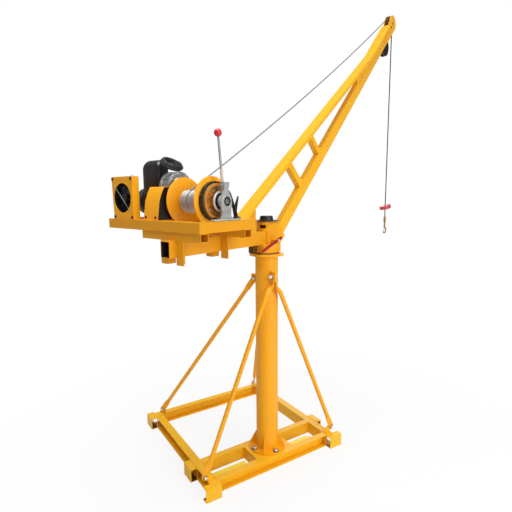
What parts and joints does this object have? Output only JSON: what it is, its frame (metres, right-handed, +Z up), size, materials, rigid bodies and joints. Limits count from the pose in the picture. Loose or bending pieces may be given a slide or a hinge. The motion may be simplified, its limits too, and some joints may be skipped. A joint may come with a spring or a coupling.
{
  "type": "portable mini crane",
  "caption": "Small slewing crane: an electric winch and a fixed jib turn on a braced column that stands on a square frame of steel channel",
  "frame": {"origin": "on the column's axis at the floor", "axes": "+X along the jib towards the hook, +Y along the winch shaft towards the motor, +Z up"},
  "size_m": [2.6323, 1.2754, 3.2574],
  "materials": {
    "orange_paint": "glossy orange-yellow enamel over welded steel, thin on the edges",
    "yellow_paint": "bright lemon enamel on flat bar",
    "red_paint": "glossy red enamel",
    "dark_paint": "satin black enamel on the motor's castings",
    "black_steel": "black oiled steel",
    "bright_steel": "plated steel rod",
    "cast_metal": "silver-painted casting with a fine grain",
    "steel_rope": "galvanised wire rope, laid strands",
    "brass_steel": "yellow passivated steel",
    "black_plastic": "moulded black plastic",
    "black_rubber": "black rubber cable sheath"
  },
  "bodies": {
    "base": {"cross_channels": "orange_paint", "side_channels": "orange_paint", "corner_feet": "orange_paint", "column_seat": "orange_paint", "ledge_strips": "yellow_paint", "column": "orange_paint", "thrust_ring": "black_steel", "front_struts": "orange_paint", "back_struts": "orange_paint", "strut_foot_lugs": "orange_paint"},
    "jib": {"slew_sleeve": "orange_paint", "bearing_cap": "black_plastic", "slew_keeper": "orange_paint", "knuckle_plates": "orange_paint", "main_beam": "orange_paint", "rear_gussets": "orange_paint", "cross_tubes": "orange_paint", "hanger_angles": "orange_paint", "platform_long_rails": "orange_paint", "platform_end_rails": "orange_paint", "winch_bearers": "orange_paint", "upper_chord": "orange_paint", "lower_chord": "orange_paint", "jib_braces": "orange_paint", "head_cheeks": "orange_paint", "limit_hoop": "black_steel", "pedestal": "cast_metal", "brake_band": "black_steel", "gearbox": "cast_metal", "gearbox_cover": "orange_paint", "motor": "dark_paint", "motor_hood": "black_plastic", "control_cable": "black_rubber", "fan_box": "orange_paint", "hoist_rope": "steel_rope", "hanging_rope": "steel_rope"},
    "drum": {"drum": "orange_paint", "wound_rope": "steel_rope"},
    "brake_lever": {"brake_lever": "bright_steel"},
    "head_sheave": {"head_sheave": "orange_paint"},
    "hook": {"hook_weight": "red_paint", "hook": "brass_steel"},
    "cooling_fan": {"cooling_fan": "black_plastic"},
    "lock_lever": {"lock_lever": "red_paint"}
  },
  "joints": [
    {"name": "slew", "type": "hinge", "parent": "base", "child": "jib", "pos_m": [0, 0, 0], "axis": [0, 0, 1], "continuous": true},
    {"name": "drum_spin", "type": "hinge", "parent": "jib", "child": "drum", "pos_m": [-0.54, 0, 1.691], "axis": [0, 1, 0], "range_deg": [-885, 1125]},
    {"name": "hook_lift", "type": "slide", "parent": "jib", "child": "hook", "axis": [0, 0, 1], "range_m": [-1.27, 1], "deforming": ["hanging_rope"]},
    {"name": "sheave_spin", "type": "hinge", "parent": "jib", "child": "head_sheave", "pos_m": [1.74786, 0, 3.18761], "axis": [0, 1, 0], "range_deg": [-1060, 1350]},
    {"name": "brake_lever_swing", "type": "hinge", "parent": "jib", "child": "brake_lever", "pos_m": [-0.54, -0.157, 1.762], "axis": [1, 0, 0], "range_deg": [-10, 12]},
    {"name": "fan_spin", "type": "hinge", "parent": "jib", "child": "cooling_fan", "pos_m": [-0.713, 0.398, 1.71], "axis": [1, 0, 0], "continuous": true},
    {"name": "slew_lock", "type": "hinge", "parent": "jib", "child": "lock_lever", "pos_m": [0.003, -0.083, 1.45], "axis": [0, 1, 0], "range_deg": [0, 30]}
  ],
  "couplings": [
    {"joint": "hook_lift", "follows": "drum_spin", "m_per_rad": -0.0644},
    {"joint": "sheave_spin", "follows": "drum_spin", "ratio": 1.1926}
  ]
}
